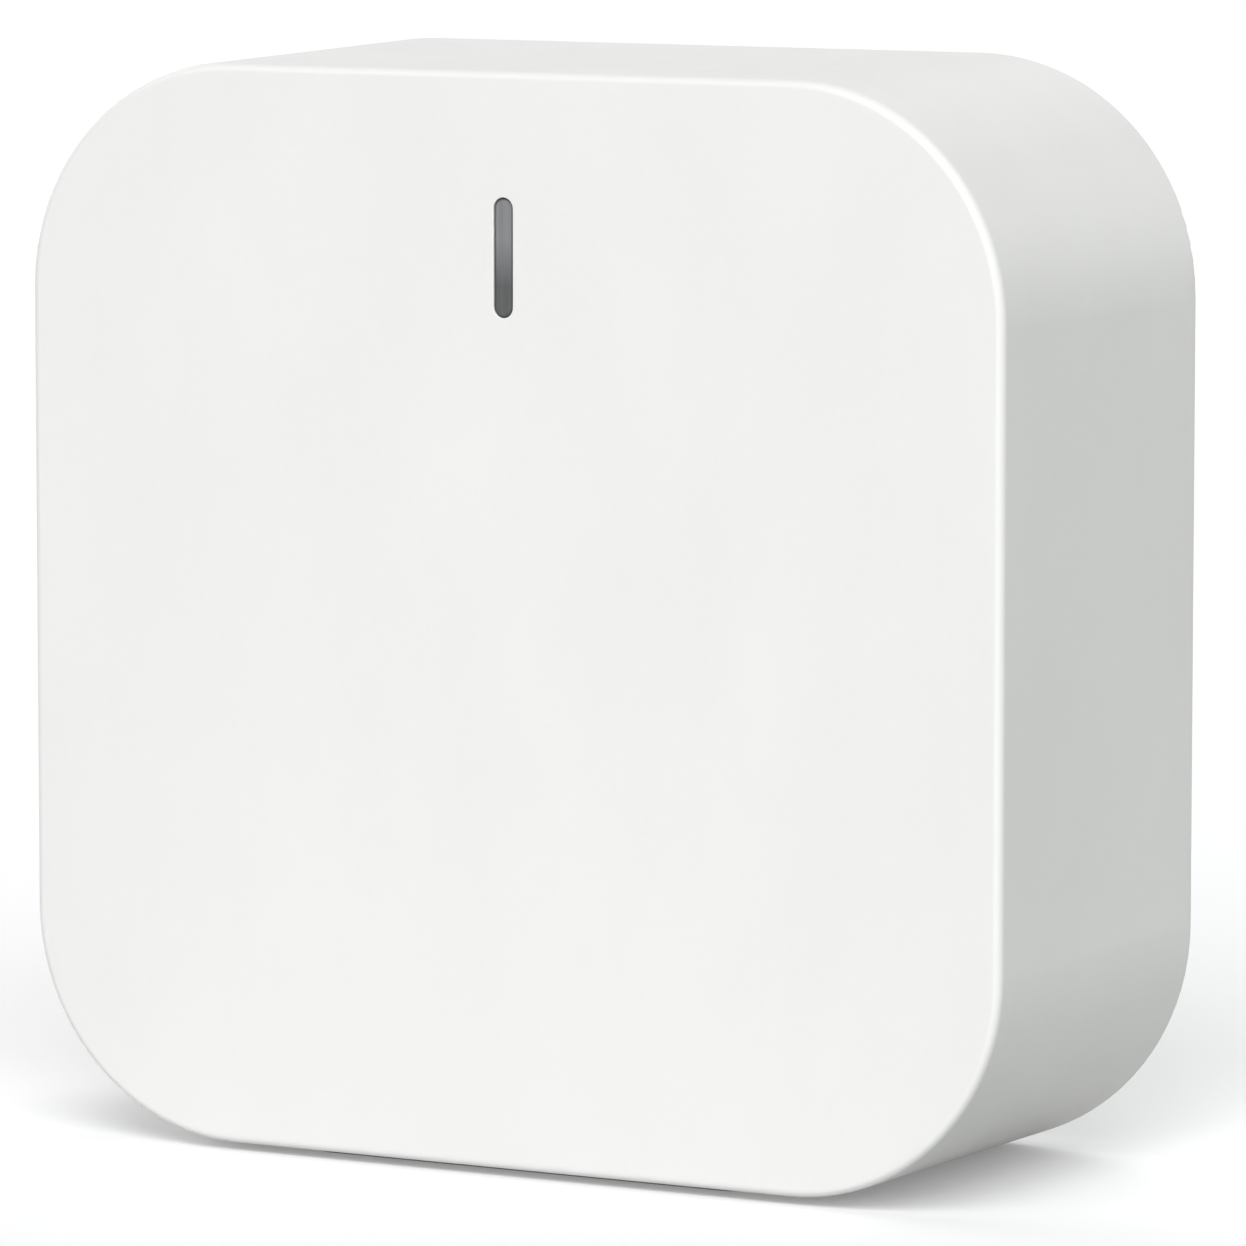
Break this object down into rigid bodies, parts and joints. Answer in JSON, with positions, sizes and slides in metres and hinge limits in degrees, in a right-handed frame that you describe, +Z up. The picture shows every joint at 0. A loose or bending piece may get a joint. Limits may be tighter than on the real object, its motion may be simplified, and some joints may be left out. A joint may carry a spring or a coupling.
{
  "type": "smart home hub",
  "caption": "Rounded-square smart home hub that stands on edge, with a status light bar in its plain front and sockets, reset button and vents in its recessed rear cover.",
  "frame": {"origin": "on the table plane, under the middle of the hub's width and depth", "axes": "+Z up, -Y out of the front face with the light bar, +Y out of the rear cover, +X to the right seen from the front"},
  "size_m": [0.095, 0.037, 0.0951],
  "materials": {
    "housing_white": "fine matt spark-eroded texture",
    "cover_white": "slightly coarser matt texture",
    "button_grey": "matt",
    "bar_smoke": "smoked translucent, satin",
    "guide_clear": "milky clear acrylic",
    "black_plastic": "matt moulded",
    "connector_ivory": "moulded nylon",
    "board_green": "solder mask over glass-epoxy laminate",
    "chip_black": "moulded epoxy",
    "tinned_steel": "tin-plated sheet",
    "nickel_shell": "nickel-plated",
    "screw_zinc": "zinc-plated",
    "gold_contact": "gold-flashed",
    "sink_aluminium": "extruded, bead-blasted",
    "capacitor_can": "drawn can",
    "foot_silicone": "matt grey silicone",
    "thermal_pad": "soft gap filler",
    "label_film": "blank polyester film",
    "lamp_body": "white package with a clear dome",
    "ribbon_film": "polyester flat cable",
    "antenna_copper": "copper on amber film",
    "lead_black": "fluoropolymer jacket",
    "ferrite_grey": "ferrite",
    "capacitor_tan": "sintered ceramic with tinned ends"
  },
  "bodies": {
    "hub": {"front_shell": "housing_white", "rear_cover": "cover_white", "light_bar_lens": "bar_smoke", "light_guide": "guide_clear", "light_baffle": "black_plastic", "network_jack_housing": "black_plastic", "usb_c_tongue": "black_plastic", "switch_base": "black_plastic", "led_board_connector": "connector_ivory", "main_board_connector": "connector_ivory", "main_board": "board_green", "led_board": "board_green", "radio_module_board": "board_green", "processor": "chip_black", "memory_chip": "chip_black", "network_chip": "chip_black", "power_regulator": "chip_black", "flash_chip": "chip_black", "network_transformer": "chip_black", "shield_frame": "tinned_steel", "shield_lid": "tinned_steel", "network_jack_shield": "tinned_steel", "radio_module_can": "tinned_steel", "switch_cover_plate": "tinned_steel", "switch_legs": "tinned_steel", "network_transformer_legs": "tinned_steel", "usb_c_shell": "nickel_shell", "clock_crystals": "nickel_shell", "switch_dome": "nickel_shell", "case_screws": "screw_zinc", "board_screws": "screw_zinc", "led_board_screws": "screw_zinc", "network_jack_contacts": "gold_contact", "usb_c_contacts": "gold_contact", "coax_socket": "gold_contact", "coax_plug": "gold_contact", "heat_sink": "sink_aluminium", "bulk_capacitors": "capacitor_can", "front_foot": "foot_silicone", "rear_foot": "foot_silicone", "thermal_pads": "thermal_pad", "rating_label": "label_film", "status_leds": "lamp_body", "led_ribbon_cable": "ribbon_film", "antenna_foil": "antenna_copper", "antenna_lead": "lead_black", "power_inductor": "ferrite_grey", "small_capacitors": "capacitor_tan"},
    "reset_button": {"reset_button": "button_grey"},
    "switch_plunger": {"switch_plunger": "black_plastic"}
  },
  "joints": [
    {"name": "reset_button_press", "type": "slide", "parent": "hub", "child": "reset_button", "axis": [0, -1, 0], "range_m": [0, 0.0003], "stiffness_N_per_m": 5000, "deforming": ["switch_dome"]},
    {"name": "switch_plunger_travel", "type": "slide", "parent": "hub", "child": "switch_plunger", "axis": [0, -1, 0], "range_m": [0, 0.0003], "deforming": ["switch_dome"]}
  ],
  "couplings": [
    {"joint": "switch_plunger_travel", "follows": "reset_button_press", "ratio": 1}
  ]
}
